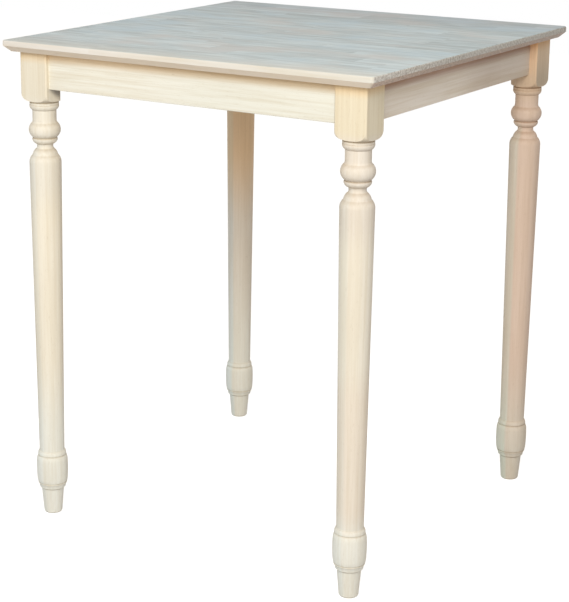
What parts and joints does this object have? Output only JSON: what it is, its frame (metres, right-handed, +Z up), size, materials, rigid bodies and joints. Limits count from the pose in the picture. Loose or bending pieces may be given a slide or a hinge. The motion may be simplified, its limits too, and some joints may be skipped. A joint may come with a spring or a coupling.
{
  "type": "counter height table",
  "caption": "Square counter height table in pale solid hardwood: edge-glued plank top with bevelled rim, plain aprons and turned legs bolted through corner blocks",
  "frame": {"origin": "On the floor under the middle of the table top", "axes": "+Z up from the floor; the front is towards -Y, and the staves of the top run along X; +X is the right-hand side seen from the front"},
  "size_m": [0.762, 0.762, 0.9144],
  "materials": {
    "top_boards": "sanded, unfinished",
    "apron_wood": "sanded, unfinished",
    "leg_wood": "sanded, unfinished",
    "block_wood": "planed, unfinished",
    "zinc_steel": "zinc plated"
  },
  "bodies": {
    "root": {"apron_back": "apron_wood", "apron_front": "apron_wood", "apron_left": "apron_wood", "apron_right": "apron_wood", "corner_block_back_left": "block_wood", "corner_block_back_right": "block_wood", "corner_block_front_left": "block_wood", "corner_block_front_right": "block_wood", "corner_block_screws": "zinc_steel", "hanger_bolts": "zinc_steel", "hanger_nuts": "zinc_steel", "hanger_washers": "zinc_steel", "leg_back_left": "leg_wood", "leg_back_right": "leg_wood", "leg_front_left": "leg_wood", "leg_front_right": "leg_wood", "top_screws": "zinc_steel", "top_stave_01": "top_boards", "top_stave_02": "top_boards", "top_stave_03": "top_boards", "top_stave_04": "top_boards", "top_stave_05": "top_boards", "top_stave_06": "top_boards", "top_stave_07": "top_boards", "top_stave_08": "top_boards", "top_stave_09": "top_boards", "top_stave_10": "top_boards", "top_stave_11": "top_boards", "top_stave_12": "top_boards"}
  },
  "joints": []
}
